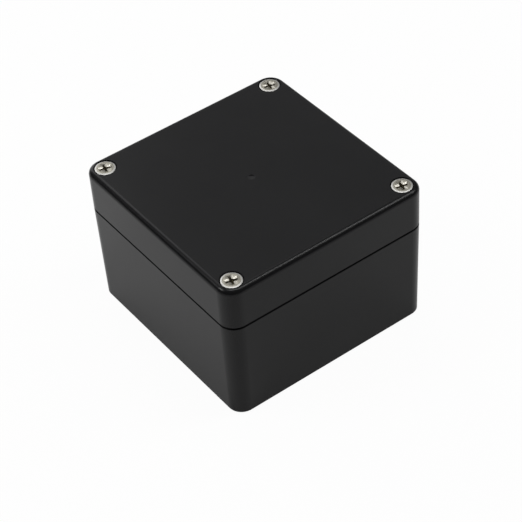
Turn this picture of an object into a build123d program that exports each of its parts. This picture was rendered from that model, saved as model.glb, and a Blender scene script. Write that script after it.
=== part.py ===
from build123d import *
import math
import os

# Sealed plastic project box: a base tray and a deep lid, closed by four countersunk screws.
# The screws turn in brass inserts in the base's corner posts, and a seal ring lies in the lid.
# Origin at the middle of the underside, +Z up, X along the longer side. All sizes in millimetres.

# Overall size
box_length = 83.0
box_width = 81.0
base_height = 40.0
lid_height = 16.0

# Mouldings
corner_radius = 5.75
base_wall = 3.0
base_floor = 2.5
lid_top_thickness = 2.5
base_draft = 0.75
lid_edge_radius = 2.0
underside_edge_chamfer = 0.6
parting_gap = 0.5
parting_gap_depth = 1.0
parting_edge_chamfer = 0.2

# Cavity corners, where its outline steps round the corner blocks
step_radius = 4.0
cavity_corner_radius = 2.5

# Lid screws, M4 countersunk with a cross recess
screw_inset_x = 5.6
screw_inset_y = 5.8
screw_diameter = 4.0
screw_length = 25.0
screw_head_diameter = 7.2
screw_head_rim = 0.3
screw_head_angle = 90.0
screw_head_sunk = 0.1
screw_head_clearance = 0.4
screw_hole_clearance = 0.25
screw_tip_room = 3.0

# Cross recess in the screw heads
recess_span = 4.4
recess_slot = 1.0
recess_bottom_span = 1.4
recess_depth = 2.2
recess_angle = -14.0

# Brass thread inserts
insert_diameter = 5.6
insert_length = 8.0
insert_knurl_teeth = 20
insert_seat_clearance = 0.05
insert_thread_clearance = 0.05
insert_below_post = 0.1
post_wall = 1.6

# Wall-mount wells beside the screw posts
mount_hole_diameter = 4.4
mount_well_diameter = 8.0
mount_floor = 4.0
well_wall = 2.2

# Seal: a tongue on the base runs in a groove in the lid and presses the ring
tongue_thickness = 1.4
tongue_height = 1.8
tongue_clearance = 0.3
groove_lip = 1.2
seal_thickness = 1.5
seal_side_clearance = 0.1
seal_rest_gap = 0.3

# Board bosses on the floor
boss_spacing_x = 48.0
boss_spacing_y = 60.0
boss_diameter = 6.0
boss_height = 5.0
boss_hole_diameter = 2.5

# Relief pockets over the wells, so that the lid's corners aren't solid
relief_size = 6.0
relief_top = 4.0

# Mark left by the moulding gate, in the middle of the lid
gate_mark_diameter = 1.6
gate_mark_depth = 0.25

# Levels
box_height = base_height + lid_height
rim_level = base_height - parting_gap
lid_ceiling = box_height - lid_top_thickness
tongue_top = base_height + tongue_height
seal_bottom = tongue_top + seal_rest_gap
seal_top = seal_bottom + seal_thickness
screw_head_top = box_height - screw_head_sunk
screw_tip_level = screw_head_top - screw_length
insert_top = base_height - insert_below_post

# Screw places, one at each corner of the box
screw_x = box_length / 2 - screw_inset_x
screw_y = box_width / 2 - screw_inset_y
corner_places = {
    "front_left": (-screw_x, -screw_y),
    "front_right": (screw_x, -screw_y),
    "back_left": (-screw_x, screw_y),
    "back_right": (screw_x, screw_y),
}

# Wells: each keeps its wall to the side of the box and its wall to the screw post
insert_seat_radius = insert_diameter / 2 + insert_seat_clearance
mount_well_radius = mount_well_diameter / 2
mount_x = box_length / 2 - base_wall - mount_well_radius
mount_y = screw_y - insert_seat_radius - post_wall - mount_well_radius

# Cavity outline: the inside of the walls, stepped in round the corner blocks
cavity_length = box_length - 2 * base_wall
cavity_width = box_width - 2 * base_wall
block_inner_x = mount_x - mount_well_radius - well_wall
block_inner_y = mount_y - mount_well_radius - well_wall
block_size_x = box_length / 2 - block_inner_x
block_size_y = box_width / 2 - block_inner_y

with BuildSketch() as cavity_outline:
    Rectangle(cavity_length, cavity_width)
    with GridLocations(2 * block_inner_x + block_size_x, 2 * block_inner_y + block_size_y, 2, 2):
        Rectangle(block_size_x, block_size_y, mode=Mode.SUBTRACT)
    # The four vertices nearest the middle are the block corners, the rest are where blocks meet walls
    fillet(cavity_outline.vertices().sort_by(SortBy.DISTANCE)[4:], radius=cavity_corner_radius)
    fillet(cavity_outline.vertices().sort_by(SortBy.DISTANCE)[:4], radius=step_radius)


def cavity_loop(outer_offset, inner_offset):
    """Sketch of a band that follows the cavity's outline between two distances outside it."""
    outline = cavity_outline.sketch
    band = offset(outline, amount=outer_offset, mode=Mode.PRIVATE)
    if inner_offset != 0:
        outline = offset(outline, amount=inner_offset, mode=Mode.PRIVATE)
    return band - outline


# Base: outer tray, widest at the rim and drawn in towards the underside
with BuildPart() as case_base:
    with BuildSketch(Plane((0, 0, rim_level), z_dir=(0, 0, -1))):
        RectangleRounded(box_length, box_width, corner_radius)
    extrude(amount=rim_level, taper=base_draft)
    chamfer(case_base.faces().sort_by(Axis.Z)[0].edges(), length=underside_edge_chamfer)
    chamfer(case_base.faces().sort_by(Axis.Z)[-1].edges(), length=parting_edge_chamfer)

    # Step that carries the lid, set in all round to leave the narrow parting gap
    with BuildSketch(Plane.XY.offset(rim_level)):
        RectangleRounded(
            box_length - 2 * parting_gap_depth,
            box_width - 2 * parting_gap_depth,
            corner_radius - parting_gap_depth,
        )
    extrude(amount=parting_gap)

    # Cavity
    with BuildSketch(Plane.XY.offset(base_floor)):
        add(cavity_outline.sketch)
    extrude(amount=base_height - base_floor, mode=Mode.SUBTRACT)

    # Tongue for the seal, standing on the inner edge of the wall
    with BuildSketch(Plane.XY.offset(base_height)):
        add(cavity_loop(tongue_thickness, 0))
    extrude(amount=tongue_height)

    # Board bosses
    with BuildSketch(Plane.XY.offset(base_floor)):
        with GridLocations(boss_spacing_x, boss_spacing_y, 2, 2):
            Circle(boss_diameter / 2)
    extrude(amount=boss_height)
    with Locations((0, 0, base_floor + boss_height)):
        with GridLocations(boss_spacing_x, boss_spacing_y, 2, 2):
            Hole(radius=boss_hole_diameter / 2, depth=boss_height)

    # Straight blind holes for the inserts, with room for the screw's tip below
    with Locations((0, 0, base_height)):
        with GridLocations(2 * screw_x, 2 * screw_y, 2, 2):
            Hole(radius=insert_seat_radius, depth=base_height - screw_tip_level + screw_tip_room)

    # Wall-mount wells
    with Locations((0, 0, base_height)):
        with GridLocations(2 * mount_x, 2 * mount_y, 2, 2):
            CounterBoreHole(
                radius=mount_hole_diameter / 2,
                counter_bore_radius=mount_well_radius,
                counter_bore_depth=base_height - mount_floor,
            )
case_base.part.label = "case_base"

# Lid: outer shell with a large radius round its top
with BuildPart() as lid:
    with BuildSketch(Plane.XY.offset(base_height)):
        RectangleRounded(box_length, box_width, corner_radius)
    extrude(amount=lid_height)
    fillet(lid.faces().sort_by(Axis.Z)[-1].edges(), radius=lid_edge_radius)
    chamfer(lid.faces().sort_by(Axis.Z)[0].edges(), length=parting_edge_chamfer)

    # Hollow, inside the groove's inner lip
    lip_offset = tongue_clearance + groove_lip
    with BuildSketch(Plane.XY.offset(base_height)):
        offset(cavity_outline.sketch, amount=-lip_offset)
    extrude(amount=lid_ceiling - base_height, mode=Mode.SUBTRACT)

    # Groove for the tongue and the seal
    with BuildSketch(Plane.XY.offset(base_height)):
        add(cavity_loop(tongue_thickness + tongue_clearance, -tongue_clearance))
    extrude(amount=seal_top - base_height, mode=Mode.SUBTRACT)

    # Screw holes, with a straight mouth above each countersink
    mouth_radius = screw_head_diameter / 2 + screw_head_clearance
    mouth_depth = screw_head_sunk + screw_head_rim
    with BuildSketch(Plane.XY.offset(box_height)):
        with GridLocations(2 * screw_x, 2 * screw_y, 2, 2):
            Circle(mouth_radius)
    extrude(amount=-mouth_depth, mode=Mode.SUBTRACT)
    with Locations((0, 0, box_height - mouth_depth)):
        with GridLocations(2 * screw_x, 2 * screw_y, 2, 2):
            CounterSinkHole(
                radius=screw_diameter / 2 + screw_hole_clearance,
                counter_sink_radius=mouth_radius,
                counter_sink_angle=screw_head_angle,
                depth=lid_height,
            )

    # Relief pockets over the wells
    with BuildSketch(Plane.XY.offset(base_height)):
        with GridLocations(2 * mount_x, 2 * mount_y, 2, 2):
            Rectangle(relief_size, relief_size)
    extrude(amount=lid_height - relief_top, mode=Mode.SUBTRACT)

    # Gate mark
    with BuildSketch(Plane.XY.offset(box_height)):
        Circle(gate_mark_diameter / 2)
    extrude(amount=-gate_mark_depth, mode=Mode.SUBTRACT)
lid.part.label = "lid"

# Seal: a flat ring at the bottom of the groove, pressed by the tongue
with BuildPart() as seal:
    seal_outer_offset = tongue_thickness + tongue_clearance - seal_side_clearance
    seal_inner_offset = seal_side_clearance - tongue_clearance
    with BuildSketch(Plane.XY.offset(seal_bottom)):
        add(cavity_loop(seal_outer_offset, seal_inner_offset))
    extrude(amount=seal_thickness)
seal.part.label = "seal"

os.makedirs("parts", exist_ok=True)
export_step(case_base.part, "parts/case_base.step")
export_step(lid.part, "parts/lid.step")
export_step(seal.part, "parts/seal.step")

# Half-section of a screw, from the tip up to the head's flat top
head_radius = screw_head_diameter / 2
head_cone_height = (head_radius - screw_diameter / 2) / math.tan(math.radians(screw_head_angle / 2))
screw_section = [
    (0, screw_tip_level),
    (screw_diameter / 2, screw_tip_level),
    (screw_diameter / 2, screw_head_top - screw_head_rim - head_cone_height),
    (head_radius, screw_head_top - screw_head_rim),
    (head_radius, screw_head_top),
    (0, screw_head_top),
]

# One pair of the recess's wings, seen from the side, narrowing with depth
recess_section = [
    (-recess_span / 2, 0),
    (recess_span / 2, 0),
    (recess_bottom_span / 2, -recess_depth),
    (-recess_bottom_span / 2, -recess_depth),
]

for corner, (place_x, place_y) in corner_places.items():
    section_plane = Plane((place_x, place_y, 0), x_dir=(1, 0, 0), z_dir=(0, -1, 0))
    screw_axis = Axis((place_x, place_y, 0), (0, 0, 1))

    with BuildPart() as lid_screw:
        with BuildSketch(section_plane):
            with BuildLine():
                Polyline(*screw_section, close=True)
            make_face()
        revolve(axis=screw_axis)
        for wing_angle in (recess_angle, recess_angle + 90):
            wing_cos = math.cos(math.radians(wing_angle))
            wing_sin = math.sin(math.radians(wing_angle))
            wing_plane = Plane(
                (place_x, place_y, screw_head_top),
                x_dir=(wing_cos, wing_sin, 0),
                z_dir=(wing_sin, -wing_cos, 0),
            )
            with BuildSketch(wing_plane):
                with BuildLine():
                    Polyline(*recess_section, close=True)
                make_face()
            extrude(amount=recess_slot / 2, both=True, mode=Mode.SUBTRACT)
    lid_screw.part.label = f"lid_screw_{corner}"
    export_step(lid_screw.part, f"parts/lid_screw_{corner}.step")

    with BuildPart() as thread_insert:
        with BuildSketch(Plane((place_x, place_y, insert_top))):
            RegularPolygon(insert_diameter / 2, insert_knurl_teeth)
            Circle(screw_diameter / 2 + insert_thread_clearance, mode=Mode.SUBTRACT)
        extrude(amount=-insert_length)
    thread_insert.part.label = f"thread_insert_{corner}"
    export_step(thread_insert.part, f"parts/thread_insert_{corner}.step")
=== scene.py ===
"""Looks of a sealed plastic project box: ABS mouldings, lid screws, thread inserts and a seal."""

import logging
import math
from collections.abc import Callable, Iterator
from contextlib import contextmanager
from dataclasses import dataclass, field
from enum import Enum

import bmesh
import bpy
from mathutils import Matrix, Vector


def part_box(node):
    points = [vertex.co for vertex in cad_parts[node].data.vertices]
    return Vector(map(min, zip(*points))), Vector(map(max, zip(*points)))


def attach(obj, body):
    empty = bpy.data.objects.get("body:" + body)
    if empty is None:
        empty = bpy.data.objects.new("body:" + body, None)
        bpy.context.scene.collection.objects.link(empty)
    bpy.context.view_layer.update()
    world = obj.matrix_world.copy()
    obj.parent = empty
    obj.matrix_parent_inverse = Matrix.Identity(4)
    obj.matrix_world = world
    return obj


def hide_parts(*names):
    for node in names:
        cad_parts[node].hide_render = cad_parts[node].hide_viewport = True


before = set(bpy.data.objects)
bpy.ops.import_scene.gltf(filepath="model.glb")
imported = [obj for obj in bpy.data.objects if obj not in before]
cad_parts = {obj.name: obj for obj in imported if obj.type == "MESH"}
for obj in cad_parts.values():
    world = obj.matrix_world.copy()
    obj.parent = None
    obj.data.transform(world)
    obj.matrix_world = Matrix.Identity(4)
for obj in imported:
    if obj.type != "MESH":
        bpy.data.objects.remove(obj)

MILLIMETRE = 0.001
WHITE = (1.0, 1.0, 1.0, 1.0)

# For pieces drawn in millimetres: how near two points are when they are merged, how near a point
# is that counts as on a line, and the share of Z in its normal above which a face counts as level
MERGE_REACH = 0.0005
NEAR = 0.01
LEVEL = 0.9

# Length of one band of Blender's wave texture at a scale of 1
WAVE_BAND = 0.314

log = logging.getLogger("project_box")


# Helpers: colour, nodes and hand tools


def linear(hex_colour: str) -> tuple[float, float, float, float]:
    """Turn an sRGB hex colour into linear RGBA.

    Args:
        hex_colour: six hex digits after a hash sign.

    Returns:
        Red, green, blue and an alpha of 1.
    """
    channels = [int(hex_colour[i:i + 2], 16) / 255 for i in (1, 3, 5)]
    # The curve of the sRGB standard, which is straight near black
    flat = [c / 12.92 if c <= 0.04045 else ((c + 0.055) / 1.055) ** 2.4 for c in channels]
    return (*flat, 1.0)


def add_node(
    tree: bpy.types.NodeTree,
    kind: str,
    settings: dict[str, object] | None = None,
    inputs: dict[str | int, object] | None = None,
    stops: tuple[tuple[float, str], ...] = (),
) -> bpy.types.Node:
    """Add one node with its settings and links.

    Args:
        tree: node tree of a material or a world.
        kind: Blender's name for the type of node.
        settings: values of the node's own properties.
        inputs: for each input a value, or an output socket to link to it.
        stops: position and hex colour of each stop, where the node has a colour ramp.

    Returns:
        The new node.
    """
    node = tree.nodes.new(kind)
    for name, value in (settings or {}).items():
        setattr(node, name, value)
    for key, value in (inputs or {}).items():
        if isinstance(value, bpy.types.NodeSocket):
            tree.links.new(value, node.inputs[key])
        else:
            node.inputs[key].default_value = value
    for index, (position, colour) in enumerate(stops):
        node.color_ramp.elements[index].position = position
        node.color_ramp.elements[index].color = linear(colour)
    return node


def choose(piece: bpy.types.Object) -> None:
    """Select one object alone and make it the active one.

    Args:
        piece: the object to select.
    """
    bpy.ops.object.select_all(action="DESELECT")
    piece.select_set(True)
    bpy.context.view_layer.objects.active = piece


@contextmanager
def editing(piece: bpy.types.Object) -> Iterator[None]:
    """Open a piece in edit mode with nothing selected, and close it at the end.

    Args:
        piece: the mesh object to edit.

    Yields:
        Nothing; the piece is in edit mode meanwhile.
    """
    choose(piece)
    bpy.ops.object.mode_set(mode="EDIT")
    bpy.ops.mesh.select_mode(type="VERT")
    bpy.ops.mesh.select_all(action="DESELECT")
    yield
    bpy.ops.object.mode_set(mode="OBJECT")


class Element(Enum):
    """Kinds of mesh element to pick in edit mode, with bmesh's name for all of a kind."""

    VERT = "verts"
    EDGE = "edges"
    FACE = "faces"


def pick(piece: bpy.types.Object, kind: Element, wanted: Callable[[object], bool]) -> None:
    """Select in edit mode just the elements that pass a test.

    Args:
        piece: the mesh object in edit mode.
        kind: whether vertices, edges or faces are picked.
        wanted: test on a bmesh vertex, edge or face.
    """
    bpy.ops.mesh.select_mode(type=kind.name)
    bpy.ops.mesh.select_all(action="DESELECT")
    elements = getattr(bmesh.from_edit_mesh(piece.data), kind.value)
    for element in [e for e in elements if wanted(e)]:
        element.select_set(True)
    bmesh.update_edit_mesh(piece.data)


def spread(point: Vector) -> float:
    """Distance of a point from the Z axis."""
    return math.hypot(point.x, point.y)


def middle(face: bmesh.types.BMFace) -> tuple[float, float]:
    """Distance from the Z axis and height of the middle of a face."""
    centre = face.calc_center_median()
    return spread(centre), centre.z


def trace(points: list[tuple[float, float]], name: str, closed: bool = False) -> bpy.types.Object:
    """Draw a half-section in the XZ plane by extruding a vertex from point to point.

    Args:
        points: radius and height of each point, in millimetres.
        name: name of the new object.
        closed: whether the last point joins the first.

    Returns:
        A mesh object that holds the line.
    """
    bpy.ops.object.select_all(action="DESELECT")
    bpy.ops.mesh.primitive_plane_add(size=1.0)
    line = bpy.context.active_object
    line.name = name
    start = Vector((points[0][0], 0, points[0][1]))
    with editing(line):
        bpy.ops.mesh.select_all(action="SELECT")
        bpy.ops.mesh.merge(type="CENTER")
        bpy.ops.transform.translate(value=start)
        for radius, height in points[1:]:
            step = Vector((radius, 0, height)) - start
            bpy.ops.mesh.extrude_region_move(TRANSFORM_OT_translate={"value": step})
            start += step
        if closed:
            pick(line, Element.VERT, lambda v: len(v.link_edges) == 1)
            bpy.ops.mesh.edge_face_add()
    return line


def turn_round(profile: bpy.types.Object, steps: int) -> None:
    """Spin a half-section round the Z axis into a closed body of revolution.

    Args:
        profile: object that holds the half-section, as traced.
        steps: segments of the full turn.
    """
    with editing(profile):
        bpy.ops.mesh.select_all(action="SELECT")
        bpy.ops.mesh.spin(steps=steps, angle=math.tau, center=(0, 0, 0), axis=(0, 0, 1))
        tidy_shell()


def tidy_shell() -> None:
    """Merge the doubles of the piece in edit mode and turn its faces outwards."""
    bpy.ops.mesh.select_all(action="SELECT")
    bpy.ops.mesh.remove_doubles(threshold=MERGE_REACH)
    bpy.ops.mesh.normals_make_consistent(inside=False)


def apply_modifiers(piece: bpy.types.Object) -> None:
    """Apply every modifier of a piece in order.

    Args:
        piece: the object that keeps the result as its mesh.
    """
    choose(piece)
    for modifier in list(piece.modifiers):
        bpy.ops.object.modifier_apply(modifier=modifier.name)


def cut(piece: bpy.types.Object, tool: bpy.types.Object) -> None:
    """Cut a tool body out of a piece by a Boolean modifier and remove the tool.

    Args:
        piece: the mesh that stays.
        tool: the mesh that is used up.
    """
    modifier = piece.modifiers.new("shape", "BOOLEAN")
    modifier.object = tool
    modifier.operation = "DIFFERENCE"
    modifier.solver = "EXACT"
    apply_modifiers(piece)
    bpy.data.objects.remove(tool)


def join(pieces: list[bpy.types.Object], name: str) -> bpy.types.Object:
    """Join several meshes into one object.

    Args:
        pieces: the meshes; the first one keeps its data.
        name: name of the joined object.

    Returns:
        The joined object.
    """
    choose(pieces[0])
    for piece in pieces[1:]:
        piece.select_set(True)
    bpy.ops.object.join()
    pieces[0].name = name
    return pieces[0]


def place_copy(
    model: bpy.types.Object, name: str, top: Vector, turn: float = 0.0
) -> bpy.types.Object:
    """Copy a model drawn in millimetres to its place in the box, with its own mesh.

    Args:
        model: the piece as modelled round the Z axis, its top at height 0.
        name: name of the copy.
        top: where the model's top centre goes, in metres.
        turn: angle about the Z axis in degrees.

    Returns:
        The copy, with its place in its mesh and its object at the origin.
    """
    choose(model)
    bpy.ops.object.duplicate()
    piece = bpy.context.active_object
    piece.name = name
    piece.scale = (MILLIMETRE,) * 3
    piece.rotation_euler = (0, 0, math.radians(turn))
    piece.location = top
    bpy.ops.object.transform_apply(location=True, rotation=True, scale=True)
    return piece


def soften(piece: bpy.types.Object, angle: float = 30.0) -> None:
    """Shade a piece smooth up to an angle in degrees between its faces."""
    choose(piece)
    bpy.ops.object.shade_smooth_by_angle(angle=math.radians(angle))


def dress(piece: bpy.types.Object, material: bpy.types.Material) -> None:
    """Give a piece one material all over."""
    piece.data.materials.clear()
    piece.data.materials.append(material)


class Corner(Enum):
    """The box's four corners, seen from above with X to the right."""

    FRONT_LEFT = "front_left"
    FRONT_RIGHT = "front_right"
    BACK_LEFT = "back_left"
    BACK_RIGHT = "back_right"

    def node(self, stem: str) -> str:
        """Name of the corner's piece of one kind."""
        return f"{stem}_{self.value}"

    def top(self, stem: str) -> Vector:
        """Middle of the top of the corner's piece of one kind, in metres."""
        low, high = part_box(self.node(stem))
        return Vector(((low.x + high.x) / 2, (low.y + high.y) / 2, high.z))


# Finishes


@dataclass(frozen=True)
class MouldedAbs:
    """Black ABS, injection moulded in a spark-eroded mould; lengths in millimetres.

    The eroded mould leaves a fine even grain, so the walls look satin, with soft reflections only
    at grazing angles. A small round patch over the gate mark in the lid's middle is painted paler,
    a painted highlight that also lightens the shade in the gate's dimple; its two radii are where
    it is full and where it ends.
    """

    colour: str = "#141415"
    pale: str = "#171718"
    ior: float = 1.53
    specular: float = 0.18
    roughness: tuple[float, float] = (0.20, 0.27)
    grain: float = 0.5
    grain_depth: float = 0.006
    flow: float = 22.0
    # Painted highlight over the gate mark: its paler colour, its middle and its two radii
    gate_highlight: str = "#262627"
    gate_highlight_middle: tuple[float, float, float] = (0.5, -0.35, 56.0)
    gate_highlight_radius: tuple[float, float] = (0.6, 1.6)

    def material(self) -> bpy.types.Material:
        """Build the material.

        Returns:
            ABS with an eroded grain and faint clouds of tone.
        """
        material = bpy.data.materials.new("moulded_abs_black")
        material.use_nodes = True
        tree = material.node_tree
        shader = tree.nodes["Principled BSDF"]
        shader.inputs["IOR"].default_value = self.ior
        shader.inputs["Specular IOR Level"].default_value = self.specular
        place = add_node(tree, "ShaderNodeTexCoord").outputs["Object"]

        # Clouds as wide as the melt's flow marks, far too faint to read as a pattern
        clouds = add_node(
            tree, "ShaderNodeTexNoise", None,
            {"Vector": place, "Scale": 1 / (self.flow * MILLIMETRE), "Detail": 3.0},
        ).outputs["Fac"]
        tone = add_node(
            tree, "ShaderNodeValToRGB", None, {"Fac": clouds},
            ((0.3, self.colour), (0.7, self.pale)),
        )

        # Painted highlight: the base colour turns paler round the lid's gate mark, which also
        # lightens the shade in its dimple
        away = add_node(
            tree, "ShaderNodeVectorMath", {"operation": "DISTANCE"},
            {0: place, 1: [length * MILLIMETRE for length in self.gate_highlight_middle]},
        ).outputs["Value"]
        near = add_node(
            tree, "ShaderNodeMapRange", {"interpolation_type": "SMOOTHSTEP"},
            {"Value": away, "From Min": self.gate_highlight_radius[1] * MILLIMETRE,
             "From Max": self.gate_highlight_radius[0] * MILLIMETRE},
        ).outputs["Result"]
        tone_and_gate_highlight = add_node(
            tree, "ShaderNodeMixRGB", None,
            {"Fac": near, "Color1": tone.outputs["Color"], "Color2": linear(self.gate_highlight)},
        )
        tree.links.new(tone_and_gate_highlight.outputs["Color"], shader.inputs["Base Color"])

        # Eroded grain is about 0.1 mm; it is drawn coarser here so that a render can show it
        grain = add_node(
            tree, "ShaderNodeTexNoise", None,
            {"Vector": place, "Scale": 1 / (self.grain * MILLIMETRE),
             "Detail": 4.0, "Roughness": 0.6},
        ).outputs["Fac"]
        rough = add_node(
            tree, "ShaderNodeMapRange", None,
            {"Value": grain, "To Min": self.roughness[0], "To Max": self.roughness[1]},
        )
        tree.links.new(rough.outputs["Result"], shader.inputs["Roughness"])
        bump = add_node(
            tree, "ShaderNodeBump", None,
            {"Height": grain, "Distance": self.grain_depth * MILLIMETRE, "Strength": 1.0},
        )
        tree.links.new(bump.outputs["Normal"], shader.inputs["Normal"])
        return material


@dataclass(frozen=True)
class FormedSteel:
    """Stainless steel, cold-headed, with a rolled thread; lengths in millimetres.

    The heading punch leaves a dull grainy face; paler and darker copies of this steel paint
    highlights and shade on parts of a screw head.
    """

    name: str = "cold_headed_steel"
    colour: str = "#aba89d"
    dull: str = "#969388"
    roughness: tuple[float, float] = (0.38, 0.52)
    grain: float = 0.35
    grain_depth: float = 0.02

    def material(self) -> bpy.types.Material:
        """Build the material.

        Returns:
            Steel with a mottled punch-marked grain.
        """
        material = bpy.data.materials.new(self.name)
        material.use_nodes = True
        tree = material.node_tree
        shader = tree.nodes["Principled BSDF"]
        shader.inputs["Metallic"].default_value = 1.0
        place = add_node(tree, "ShaderNodeTexCoord").outputs["Object"]

        # Punch marks are about 0.1 mm; they are drawn coarser here so that a render can show them
        mottle = add_node(
            tree, "ShaderNodeTexNoise", None,
            {"Vector": place, "Scale": 1 / (self.grain * MILLIMETRE),
             "Detail": 5.0, "Roughness": 0.65},
        ).outputs["Fac"]
        tone = add_node(
            tree, "ShaderNodeValToRGB", None, {"Fac": mottle},
            ((0.35, self.dull), (0.65, self.colour)),
        )
        tree.links.new(tone.outputs["Color"], shader.inputs["Base Color"])
        rough = add_node(
            tree, "ShaderNodeMapRange", None,
            {"Value": mottle, "To Min": self.roughness[1], "To Max": self.roughness[0]},
        )
        tree.links.new(rough.outputs["Result"], shader.inputs["Roughness"])
        bump = add_node(
            tree, "ShaderNodeBump", None,
            {"Height": mottle, "Distance": self.grain_depth * MILLIMETRE, "Strength": 0.6},
        )
        tree.links.new(bump.outputs["Normal"], shader.inputs["Normal"])
        return material


@dataclass(frozen=True)
class TurnedBrass:
    """Free-cutting brass, turned and knurled on an automatic lathe; lengths in millimetres.

    Fine rings left by the tool run round each face, so it glints in thin level bands.
    """

    colour: str = "#c8a65a"
    dark: str = "#b08d45"
    roughness: tuple[float, float] = (0.22, 0.34)
    feed: float = 0.12
    feed_depth: float = 0.004

    def material(self) -> bpy.types.Material:
        """Build the material.

        Returns:
            Brass with level tool marks.
        """
        material = bpy.data.materials.new("turned_brass")
        material.use_nodes = True
        tree = material.node_tree
        shader = tree.nodes["Principled BSDF"]
        shader.inputs["Metallic"].default_value = 1.0
        place = add_node(tree, "ShaderNodeTexCoord").outputs["Object"]

        # One ring for each turn of the lathe, as far apart as the tool moves in a turn
        rings = add_node(
            tree, "ShaderNodeTexWave", {"bands_direction": "Z"},
            {"Vector": place, "Scale": WAVE_BAND / (self.feed * MILLIMETRE), "Distortion": 0.6},
        ).outputs["Fac"]
        tone = add_node(
            tree, "ShaderNodeValToRGB", None, {"Fac": rings},
            ((0.0, self.dark), (0.6, self.colour)),
        )
        tree.links.new(tone.outputs["Color"], shader.inputs["Base Color"])
        rough = add_node(
            tree, "ShaderNodeMapRange", None,
            {"Value": rings, "To Min": self.roughness[1], "To Max": self.roughness[0]},
        )
        tree.links.new(rough.outputs["Result"], shader.inputs["Roughness"])
        bump = add_node(
            tree, "ShaderNodeBump", None,
            {"Height": rings, "Distance": self.feed_depth * MILLIMETRE, "Strength": 0.5},
        )
        tree.links.new(bump.outputs["Normal"], shader.inputs["Normal"])
        return material


@dataclass(frozen=True)
class PressedSilicone:
    """Grey silicone rubber, pressed in a blasted tool; lengths in millimetres.

    It looks matt and slightly cloudy, with dust-like specks and no sharp highlight.
    """

    colour: str = "#7d7f80"
    pale: str = "#8b8d8d"
    ior: float = 1.41
    roughness: float = 0.6
    cloud: float = 1.5
    grain_depth: float = 0.02

    def material(self) -> bpy.types.Material:
        """Build the material.

        Returns:
            Silicone with a soft cloudy tone and a blasted grain.
        """
        material = bpy.data.materials.new("pressed_silicone_grey")
        material.use_nodes = True
        tree = material.node_tree
        shader = tree.nodes["Principled BSDF"]
        shader.inputs["IOR"].default_value = self.ior
        shader.inputs["Roughness"].default_value = self.roughness
        place = add_node(tree, "ShaderNodeTexCoord").outputs["Object"]

        # The clouds' finest detail stands for blasting pits of about 0.05 mm
        clouds = add_node(
            tree, "ShaderNodeTexNoise", None,
            {"Vector": place, "Scale": 1 / (self.cloud * MILLIMETRE), "Detail": 6.0},
        ).outputs["Fac"]
        tone = add_node(
            tree, "ShaderNodeValToRGB", None, {"Fac": clouds},
            ((0.3, self.colour), (0.7, self.pale)),
        )
        tree.links.new(tone.outputs["Color"], shader.inputs["Base Color"])
        bump = add_node(
            tree, "ShaderNodeBump", None,
            {"Height": clouds, "Distance": self.grain_depth * MILLIMETRE, "Strength": 0.5},
        )
        tree.links.new(bump.outputs["Normal"], shader.inputs["Normal"])
        return material


# Sub-assemblies


@dataclass
class Mouldings:
    """The base tray and the lid, whose CAD shapes are right and are only dressed."""

    finish: MouldedAbs = field(default_factory=MouldedAbs)
    nodes: tuple[str, ...] = ("case_base", "lid")

    def build(self) -> list[bpy.types.Object]:
        """Dress both mouldings.

        Returns:
            The two CAD objects.
        """
        material = self.finish.material()
        pieces = [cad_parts[name] for name in self.nodes]
        for piece in pieces:
            dress(piece, material)
        return pieces


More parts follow.
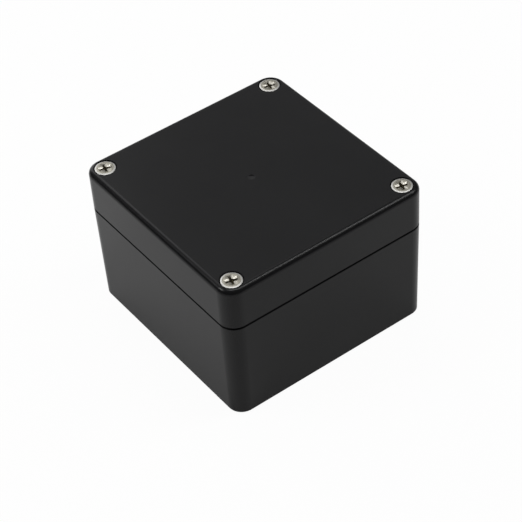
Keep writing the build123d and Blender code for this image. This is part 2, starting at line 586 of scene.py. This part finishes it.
@dataclass
class LidScrews:
    """Four M4 countersunk screws with a cross recess.

    Sizes are in millimetres, with the head's top at 0. The flare leads from the recess up to the
    flat: each point of it says how far out it is, as a share of recess_flank at the sides of a
    slot and of recess_end at its ends, and how high.
    """

    finish: FormedSteel = field(default_factory=FormedSteel)
    # Painted highlight: a paler copy of the steel on the sloping rim, so it reads as the palest
    # ring of the head
    rim_highlight_finish: FormedSteel = field(default_factory=lambda: FormedSteel(
        name="rubbed_steel_rim", colour="#d3d2cf", dull="#c2c1bd", roughness=(0.42, 0.52)))
    # Painted highlight: a paler copy of the steel on the flare round the recess, so it shines a
    # little more than the flat
    brim_highlight_finish: FormedSteel = field(default_factory=lambda: FormedSteel(
        name="driver_rubbed_steel_brim", colour="#bfbcb3", dull="#aba89f", roughness=(0.34, 0.46)))
    # Painted shade: a darker, duller and warmer copy of the steel on the recess's walls and floor
    recess_shade_finish: FormedSteel = field(default_factory=lambda: FormedSteel(
        name="punched_steel_recess", colour="#9b9583", dull="#7d7769", roughness=(0.40, 0.55)))
    # Painted shade: the darkest copy of the steel, on the head's side and cone, which darkens the
    # gap round the head
    cone_shade_finish: FormedSteel = field(default_factory=lambda: FormedSteel(
        name="die_drawn_steel_cone", colour="#7d7769", dull="#625d52", roughness=(0.45, 0.60)))
    head_radius: float = 3.6
    face_radius: float = 3.04
    rim_drop: float = 0.13
    edge_radius: float = 0.07
    edge_steps: int = 3
    rim_height: float = 0.3
    seat_height: float = 1.6
    turns: int = 96
    thread_radius: float = 2.0
    root_radius: float = 1.6
    pitch: float = 0.7
    thread_start: float = 2.6
    thread_steps: int = 36
    seam_reach: float = 0.001
    spare_turns: int = 2
    length: float = 25.0
    tip_taper: float = 0.8
    tip_share: float = 0.4
    recess_span: float = 3.9
    recess_slot: float = 0.66
    recess_foot_span: float = 2.3
    recess_foot_slot: float = 0.56
    recess_depth: float = 2.1
    recess_core: float = 0.8
    recess_core_foot: float = 0.5
    recess_steps: int = 32
    recess_flare: tuple[tuple[float, float], ...] = (
        (0.0, -0.42), (0.04, -0.35), (0.12, -0.29), (0.92, -0.03), (1.4, 0.1))
    recess_flank: float = 0.75
    recess_end: float = 0.3
    recess_angle: float = -14.0
    brim_start: float = 0.005

    def on_flat(self, face: bmesh.types.BMFace) -> bool:
        """Whether a face is level and inside the radius of the head's flat."""
        return middle(face)[0] < self.face_radius and abs(face.normal.z) > LEVEL

    def at_rim(self, edge: bmesh.types.BMEdge) -> bool:
        """Whether an edge runs round the outside of the head's sloping rim."""
        return all(abs(spread(v.co) - self.head_radius) < NEAR and v.co.z > NEAR - self.rim_height
                   for v in edge.verts)

    def head(self) -> bpy.types.Object:
        """Model the head and the neck as one body of revolution.

        Returns:
            The head, with a dull flat inside a sloping rim.
        """
        foot = -self.rim_height - self.seat_height
        head = trace(
            [
                (0, 0),
                (self.face_radius, 0),
                (self.head_radius, -self.rim_drop),
                (self.head_radius, -self.rim_height),
                (self.thread_radius, foot),
                (self.root_radius, foot - self.pitch / 2),
                (self.root_radius, -self.thread_start - self.pitch),
                (0, -self.thread_start - self.pitch),
            ],
            "screw_head",
        )
        turn_round(head, self.turns)
        with editing(head):
            pick(head, Element.FACE, self.on_flat)
            bpy.ops.mesh.dissolve_faces()
            pick(head, Element.EDGE, self.at_rim)
            bpy.ops.mesh.bevel(
                offset=self.edge_radius, segments=self.edge_steps, profile=0.5, affect="EDGES")
        return head

    def core(self) -> bpy.types.Object:
        """Model the conical middle of the punch that leaves the cross recess.

        Returns:
            A closed pointed cone with a flared top.
        """
        throat = [
            (self.recess_core + out * self.recess_end, level)
            for out, level in reversed(self.recess_flare)
        ]
        core = trace(
            [
                (0, self.recess_flare[-1][1]),
                *throat,
                (self.recess_core_foot, -self.recess_depth),
                (0, -self.recess_depth - self.recess_core_foot / 2),
            ],
            "recess_core",
        )
        turn_round(core, self.recess_steps)
        return core

    def blade(self, turn: float) -> bpy.types.Object:
        """Model one tapered blade of the punch, whose flared top leaves sloping flanks.

        Args:
            turn: angle of the blade about the Z axis in degrees.

        Returns:
            The closed blade.
        """
        brim = self.recess_flare[0][1]
        height = self.recess_depth + brim
        half = (self.recess_span / 2, self.recess_slot / 2)
        flare = (self.recess_end, self.recess_flank)
        narrower = (
            self.recess_foot_span / self.recess_span, self.recess_foot_slot / self.recess_slot)
        bpy.ops.object.select_all(action="DESELECT")
        bpy.ops.mesh.primitive_cube_add(size=1.0, location=(0, 0, 0))
        blade = bpy.context.active_object
        with editing(blade):
            bpy.ops.mesh.select_all(action="SELECT")
            bpy.ops.transform.resize(value=(self.recess_span, self.recess_slot, height))
            bpy.ops.transform.translate(value=(0, 0, brim - height / 2))
            pick(blade, Element.FACE, lambda f: f.normal.z < -LEVEL)
            bpy.ops.transform.resize(value=(*narrower, 1))
            pick(blade, Element.FACE, lambda f: f.normal.z > LEVEL)
            for (inner, low), (outer, high) in zip(self.recess_flare, self.recess_flare[1:]):
                wider = [(h + outer * f) / (h + inner * f) for h, f in zip(half, flare)]
                bpy.ops.mesh.extrude_region_move(
                    TRANSFORM_OT_translate={"value": (0, 0, high - low)})
                bpy.ops.transform.resize(value=(*wider, 1))
            bpy.ops.mesh.select_all(action="SELECT")
            bpy.ops.transform.rotate(
                value=math.radians(turn), orient_axis="Z", center_override=(0, 0, 0))
        return blade

    def thread(self) -> bpy.types.Object:
        """Model the rolled thread as a screwed half-section, cut level at both ends.

        Its root is a quarter of the pitch wide and its crest an eighth, as on metric threads.

        Returns:
            The threaded shank with a tapered tip.
        """
        root, crest = self.pitch / 4, self.pitch / 8
        flank = (self.pitch * 3 / 4 - crest) / 2
        low = -self.length - self.spare_turns * self.pitch
        thread = trace(
            [
                (self.root_radius, low),
                (self.root_radius, low + root),
                (self.thread_radius, low + root + flank),
                (self.thread_radius, low + root + flank + crest),
                (self.root_radius, low + self.pitch),
            ],
            "screw_thread",
        )
        turns = math.ceil((self.length - self.thread_start) / self.pitch)
        modifier = thread.modifiers.new("helix", "SCREW")
        modifier.axis = "Z"
        modifier.screw_offset = self.pitch
        modifier.iterations = turns + self.spare_turns + 1
        modifier.steps = modifier.render_steps = self.thread_steps
        modifier.use_merge_vertices = True
        modifier.merge_threshold = self.seam_reach
        apply_modifiers(thread)
        for height, outer in ((-self.thread_start, True), (-self.length, False)):
            with editing(thread):
                bpy.ops.mesh.select_all(action="SELECT")
                bpy.ops.mesh.bisect(
                    plane_co=(0, 0, height), plane_no=(0, 0, 1),
                    clear_outer=outer, clear_inner=not outer, use_fill=True)
        with editing(thread):
            tidy_shell()
            tip = -self.length + self.tip_share * self.pitch
            pick(thread, Element.VERT, lambda v: v.co.z < tip)
            bpy.ops.transform.resize(
                value=(self.tip_taper, self.tip_taper, 1), center_override=(0, 0, 0))
        return thread

    def on_rim(self, face: bmesh.types.BMFace) -> bool:
        """Whether a face is on the sloping rim round the head's flat."""
        out, up = middle(face)
        return out > self.face_radius and up > -self.rim_height

    def on_brim(self, face: bmesh.types.BMFace) -> bool:
        """Whether a face is on the flare that leads from the flat into the recess."""
        out, up = middle(face)
        return out < self.face_radius and self.recess_flare[1][1] < up < -self.brim_start

    def in_recess(self, face: bmesh.types.BMFace) -> bool:
        """Whether a face is inside the cross recess, below its brim.

        Args:
            face: a face of the whole screw.

        Returns:
            True for the recess's own walls and floor, which face the axis.
        """
        out, up = middle(face)
        foot = -self.recess_depth - self.recess_core_foot
        return (out < self.recess_span / 2 and up < self.recess_flare[1][1]
                and face.normal.dot(face.calc_center_median()) < 0
                and all(v.co.z > foot for v in face.verts))

    def on_cone(self, face: bmesh.types.BMFace) -> bool:
        """Whether a face is on the head's side or its countersunk cone.

        Args:
            face: a face of the whole screw.

        Returns:
            True below the rim's edge and outside the thread.
        """
        out, up = middle(face)
        top = -self.rim_drop - self.edge_radius
        return out > self.thread_radius and -self.thread_start < up < top

    def paint(self, model: bpy.types.Object) -> None:
        """Give rim and brim paler finishes (painted highlight), recess and cone darker (painted
        shade).

        Args:
            model: the whole screw, with one material so far.
        """
        areas = (
            (self.rim_highlight_finish, self.on_rim),
            (self.brim_highlight_finish, self.on_brim),
            (self.recess_shade_finish, self.in_recess),
            (self.cone_shade_finish, self.on_cone),
        )
        for finish, _ in areas:
            model.data.materials.append(finish.material())
        with editing(model):
            for slot, (_, wanted) in enumerate(areas, 1):
                pick(model, Element.FACE, wanted)
                model.active_material_index = slot
                bpy.ops.object.material_slot_assign()

    def build(self) -> list[bpy.types.Object]:
        """Model one screw and set a copy of it in each corner.

        Returns:
            The four screws.
        """
        head = self.head()
        for tool in (self.core(), self.blade(0.0), self.blade(90.0)):
            cut(head, tool)
        model = join([head, self.thread()], "screw_model")
        soften(model)
        dress(model, self.finish.material())
        self.paint(model)
        pieces = []
        for corner in Corner:
            node = corner.node("lid_screw")
            piece = place_copy(model, f"steel_{node}", corner.top("lid_screw"), self.recess_angle)
            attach(piece, f"screw_{corner.value}")
            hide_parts(node)
            pieces.append(piece)
        bpy.data.objects.remove(model)
        return pieces


@dataclass
class ThreadInserts:
    """Four knurled brass inserts for M4.

    Sizes are in millimetres, with the top at 0, and the helix is a band's turn in degrees. The
    teeth's valleys sink a little into the sleeve, so that no gap shows between them.
    """

    finish: TurnedBrass = field(default_factory=TurnedBrass)
    radius: float = 2.8
    body_radius: float = 2.6
    bore_radius: float = 2.05
    groove: float = 0.2
    land: float = 0.15
    pitch: float = 0.7
    length: float = 8.0
    end_bevel: float = 0.25
    turns: int = 48
    teeth: int = 28
    valley_sink: float = 0.02
    band_height: float = 2.6
    band_inset: float = 0.4
    band_gap: float = 1.0
    band_wall: float = 0.1
    band_steps: int = 4
    helix: float = 18.0

    def sleeve(self) -> bpy.types.Object:
        """Model the plain sleeve with its thread grooves.

        Returns:
            A tube with bevelled ends and a grooved bore.
        """
        points = [
            (self.body_radius, -self.length + self.end_bevel),
            (self.body_radius, -self.end_bevel),
            (self.body_radius - self.end_bevel, 0),
            (self.bore_radius + self.groove, 0),
        ]
        count = int((self.length - 2 * self.groove) / self.pitch)
        slope = (self.pitch - self.land) / 2
        for turn in range(count):
            level = -self.groove - turn * self.pitch
            points += [
                (self.bore_radius, level),
                (self.bore_radius, level - self.land),
                (self.bore_radius + self.groove, level - self.land - slope),
            ]
        points += [
            (self.bore_radius, -self.groove - count * self.pitch),
            (self.bore_radius + self.groove, -self.length),
            (self.body_radius - self.end_bevel, -self.length),
        ]
        sleeve = trace(points, "insert_sleeve", closed=True)
        turn_round(sleeve, self.turns)
        return sleeve

    def knurl(self, low: float, twist: float) -> bpy.types.Object:
        """Model one band of slanting teeth.

        Args:
            low: height of the band's lower end.
            twist: turn of the band from end to end, in degrees.

        Returns:
            A closed toothed ring.
        """
        bpy.ops.object.select_all(action="DESELECT")
        bpy.ops.mesh.primitive_circle_add(
            vertices=2 * self.teeth, radius=self.radius, fill_type="NGON", location=(0, 0, 0))
        band = bpy.context.active_object
        sector = math.pi / self.teeth
        valley = (self.body_radius - self.valley_sink) / self.radius
        rise = self.band_height / self.band_steps
        turn = math.radians(twist / self.band_steps)
        with editing(band):
            pick(band, Element.VERT,
                 lambda v: round(math.atan2(v.co.y, v.co.x) / sector) % 2 == 0)
            bpy.ops.transform.resize(value=(valley, valley, 1), center_override=(0, 0, 0))
            bpy.ops.mesh.select_all(action="SELECT")
            bpy.ops.transform.translate(value=(0, 0, low))
            for _ in range(self.band_steps):
                bpy.ops.mesh.extrude_region_move(TRANSFORM_OT_translate={"value": (0, 0, rise)})
                bpy.ops.transform.rotate(
                    value=turn, orient_axis="Z", center_override=(0, 0, 0))
            # Only the two ends have more than four corners; they open into a bridged bore
            pick(band, Element.FACE, lambda f: len(f.verts) > 4)
            bpy.ops.mesh.inset(thickness=self.radius - self.body_radius + self.band_wall)
            bpy.ops.mesh.delete(type="FACE")
            pick(band, Element.EDGE, lambda e: e.is_boundary)
            bpy.ops.mesh.bridge_edge_loops()
            tidy_shell()
        return band

    def build(self) -> list[bpy.types.Object]:
        """Model one insert and set a copy of it in each corner post.

        Returns:
            The four inserts.
        """
        upper = -self.end_bevel - self.band_inset - self.band_height
        lower = upper - self.band_gap - self.band_height
        model = join(
            [self.sleeve(), self.knurl(upper, self.helix), self.knurl(lower, -self.helix)],
            "insert_model",
        )
        soften(model)
        dress(model, self.finish.material())
        pieces = []
        for corner in Corner:
            node = corner.node("thread_insert")
            piece = place_copy(model, f"brass_{node}", corner.top("thread_insert"))
            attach(piece, "base")
            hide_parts(node)
            pieces.append(piece)
        bpy.data.objects.remove(model)
        return pieces


@dataclass
class SealRing:
    """The silicone ring in the lid's groove, with rounded edges as pressed.

    Lengths are in millimetres, and angles, each between two faces, in degrees.
    """

    finish: PressedSilicone = field(default_factory=PressedSilicone)
    edge_radius: float = 0.35
    edge_steps: int = 4
    merge_reach: float = 0.001
    facet_angle: float = 2.0
    corner_angle: float = 46.0
    smooth_angle: float = 50.0

    def at_corner(self, edge: bmesh.types.BMEdge) -> bool:
        """Whether an edge is one of the solid's sharp corners."""
        return edge.is_manifold and edge.calc_face_angle(0) > math.radians(self.corner_angle)

    def build(self) -> bpy.types.Object:
        """Round the edges of a copy of the seal's CAD solid.

        Returns:
            The seal ring.
        """
        choose(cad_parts["seal"])
        bpy.ops.object.duplicate()
        ring = bpy.context.active_object
        ring.name = "silicone_seal"
        # The copy is a new piece, so it drops the rig_ marks that a CAD node carries
        for key in [k for k in ring.keys() if k.startswith("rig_")]:
            del ring[key]
        ring.parent = None
        with editing(ring):
            bpy.ops.mesh.select_all(action="SELECT")
            bpy.ops.mesh.remove_doubles(threshold=self.merge_reach * MILLIMETRE)
            bpy.ops.mesh.dissolve_limited(angle_limit=math.radians(self.facet_angle))
            pick(ring, Element.EDGE, self.at_corner)
            bpy.ops.mesh.bevel(
                offset=self.edge_radius * MILLIMETRE, segments=self.edge_steps, affect="EDGES")
        soften(ring, self.smooth_angle)
        dress(ring, self.finish.material())
        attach(ring, "lid")
        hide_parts("seal")
        return ring


# Studio


@dataclass(frozen=True)
class SoftBox:
    """A rectangular lamp that faces the box; angles in degrees, lengths in metres.

    Azimuth 0 stands in front of the box, on the -Y side, and the turn rolls the lamp about the
    line to the box. The level is the brightness of its face.
    """

    name: str
    azimuth: float
    elevation: float
    width: float
    height: float
    level: float
    turn: float = 0.0
    distance: float = 0.9

    def hang(self) -> None:
        """Make the lamp, with its power worked out from the brightness and size of its face."""
        lamp = bpy.data.lights.new(self.name, "AREA")
        lamp.shape = "RECTANGLE"
        lamp.size = self.width
        lamp.size_y = self.height
        lamp.energy = self.level * math.pi * self.width * self.height
        holder = bpy.data.objects.new(self.name, lamp)
        bpy.context.scene.collection.objects.link(holder)
        away = direction(self.azimuth, self.elevation)
        holder.location = away * self.distance
        roll = Matrix.Rotation(math.radians(self.turn), 3, "Z")
        holder.rotation_euler = (away.to_track_quat("Z", "Y").to_matrix() @ roll).to_euler()


def direction(azimuth: float, elevation: float) -> Vector:
    """Unit vector from the box towards an azimuth and an elevation in degrees."""
    a, e = math.radians(azimuth), math.radians(elevation)
    return Vector((math.sin(a) * math.cos(e), -math.cos(a) * math.cos(e), math.sin(e)))


@dataclass
class Studio:
    """White floor, soft lamps and a dim room; the floor's size in metres, its drop in millimetres.

    camera_share and mirror_share say how much of the floor camera rays and mirror rays see as
    plain white; the rest of it is lit paper that keeps the box's faint shadow.
    """

    floor_size: float = 6.0
    floor_drop: float = 0.05
    floor_colour: str = "#ececec"
    camera_share: float = 0.96
    mirror_share: float = 0.17
    room_level: float = 0.06
    lamps: tuple[SoftBox, ...] = (
        SoftBox("low_left", -92.0, 30.0, 0.44, 0.85, 1.6),
        SoftBox("high_front", -30.0, 48.0, 0.32, 0.32, 6.5),
        SoftBox("high_back", 150.0, 48.0, 0.32, 0.32, 5.0),
        SoftBox("high_left", -120.0, 66.0, 0.32, 0.32, 1.2),
        SoftBox("overhead", 0.0, 88.0, 0.4, 0.4, 1.2),
        SoftBox("back_left", -124.0, 43.0, 0.8, 0.8, 0.42),
        SoftBox("strip", 132.0, 78.6, 0.08, 0.66, 13.0, 24.0),
    )

    def floor(self) -> None:
        """Lay the floor, which camera rays see as nearly plain white.

        It lies a hair below the box, and from beneath the camera sees through it to the underside.
        """
        bpy.ops.object.select_all(action="DESELECT")
        bpy.ops.mesh.primitive_plane_add(
            size=self.floor_size, location=(0, 0, -self.floor_drop * MILLIMETRE))
        floor = bpy.context.active_object
        floor.name = "studio_floor"
        material = bpy.data.materials.new("white_studio_floor")
        material.use_nodes = True
        tree = material.node_tree
        tree.nodes.clear()
        path = add_node(tree, "ShaderNodeLightPath").outputs
        mirror = add_node(
            tree, "ShaderNodeMath", {"operation": "MAXIMUM"},
            {0: path["Is Glossy Ray"], 1: path["Is Transmission Ray"]}).outputs["Value"]
        seen = add_node(
            tree, "ShaderNodeMath", {"operation": "MULTIPLY"},
            {0: path["Is Camera Ray"], 1: self.camera_share}).outputs["Value"]
        share = add_node(
            tree, "ShaderNodeMath", {"operation": "MULTIPLY_ADD"},
            {0: mirror, 1: self.mirror_share, 2: seen}).outputs["Value"]
        paper = add_node(tree, "ShaderNodeBsdfDiffuse", None, {"Color": linear(self.floor_colour)})
        white = add_node(tree, "ShaderNodeEmission", None, {"Color": WHITE, "Strength": 1.0})
        mixed = add_node(
            tree, "ShaderNodeMixShader", None,
            {0: share, 1: paper.outputs["BSDF"], 2: white.outputs["Emission"]})
        underside = add_node(tree, "ShaderNodeNewGeometry").outputs["Backfacing"]
        beneath = add_node(
            tree, "ShaderNodeMath", {"operation": "MULTIPLY"},
            {0: path["Is Camera Ray"], 1: underside}).outputs["Value"]
        clear = add_node(tree, "ShaderNodeBsdfTransparent")
        laid = add_node(
            tree, "ShaderNodeMixShader", None,
            {0: beneath, 1: mixed.outputs["Shader"], 2: clear.outputs["BSDF"]})
        add_node(tree, "ShaderNodeOutputMaterial", None, {"Surface": laid.outputs["Shader"]})
        dress(floor, material)

    def room(self) -> None:
        """Set the dim grey room; camera rays see it white, as they see the floor."""
        world = bpy.data.worlds.new("studio_room")
        world.use_nodes = True
        tree = world.node_tree
        tree.nodes.clear()
        seen = add_node(tree, "ShaderNodeLightPath").outputs["Is Camera Ray"]
        grey, white = (
            add_node(tree, "ShaderNodeBackground", None, {"Color": WHITE, "Strength": level})
            for level in (self.room_level, 1.0))
        mixed = add_node(
            tree, "ShaderNodeMixShader", None,
            {0: seen, 1: grey.outputs["Background"], 2: white.outputs["Background"]})
        add_node(tree, "ShaderNodeOutputWorld", None, {"Surface": mixed.outputs["Shader"]})
        bpy.context.scene.world = world

    def build(self) -> None:
        """Set up the floor, the room and the lamps."""
        self.floor()
        self.room()
        for lamp in self.lamps:
            lamp.hang()


@dataclass(frozen=True)
class PhotoCamera:
    """Camera at the photograph's viewing angle; angles in degrees, lengths in millimetres.

    The angles and the distance come from fitting the box's outline, parting line and screw heads.
    The camera looks past the middle of the box, by as much as it stands across and upward.
    """

    azimuth: float = 55.939
    elevation: float = 42.759
    roll: float = -4.368
    distance: float = 597.585
    across: float = 1.550
    upward: float = -7.625
    aim_height: float = 28.0
    lens: float = 120.38
    sensor: float = 36.0

    def build(self) -> None:
        """Make the camera and make it the scene's own."""
        back = direction(self.azimuth, self.elevation)
        level = Vector((0, 0, 1)).cross(back).normalized()
        rise = back.cross(level)
        roll = math.radians(self.roll)
        right = math.cos(roll) * level + math.sin(roll) * rise
        top = math.cos(roll) * rise - math.sin(roll) * level
        centre = back * self.distance + right * self.across + top * self.upward
        centre.z += self.aim_height
        data = bpy.data.cameras.new("photo_camera")
        data.lens = self.lens
        data.sensor_width = self.sensor
        camera = bpy.data.objects.new("photo_camera", data)
        bpy.context.scene.collection.objects.link(camera)
        turn = Matrix((right, top, back)).transposed().to_4x4()
        camera.matrix_world = Matrix.Translation(centre * MILLIMETRE) @ turn
        bpy.context.scene.camera = camera
        bpy.context.scene.view_settings.view_transform = "Standard"


def main() -> None:
    """Build the studio and the box."""
    logging.basicConfig(level=logging.INFO, format="%(message)s")
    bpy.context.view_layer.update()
    PhotoCamera().build()
    Studio().build()
    pieces = Mouldings().build()
    pieces += LidScrews().build()
    pieces += ThreadInserts().build()
    pieces.append(SealRing().build())
    for piece in pieces:
        log.info("%s: %d faces", piece.name, len(piece.data.polygons))


if __name__ == "__main__":
    main()
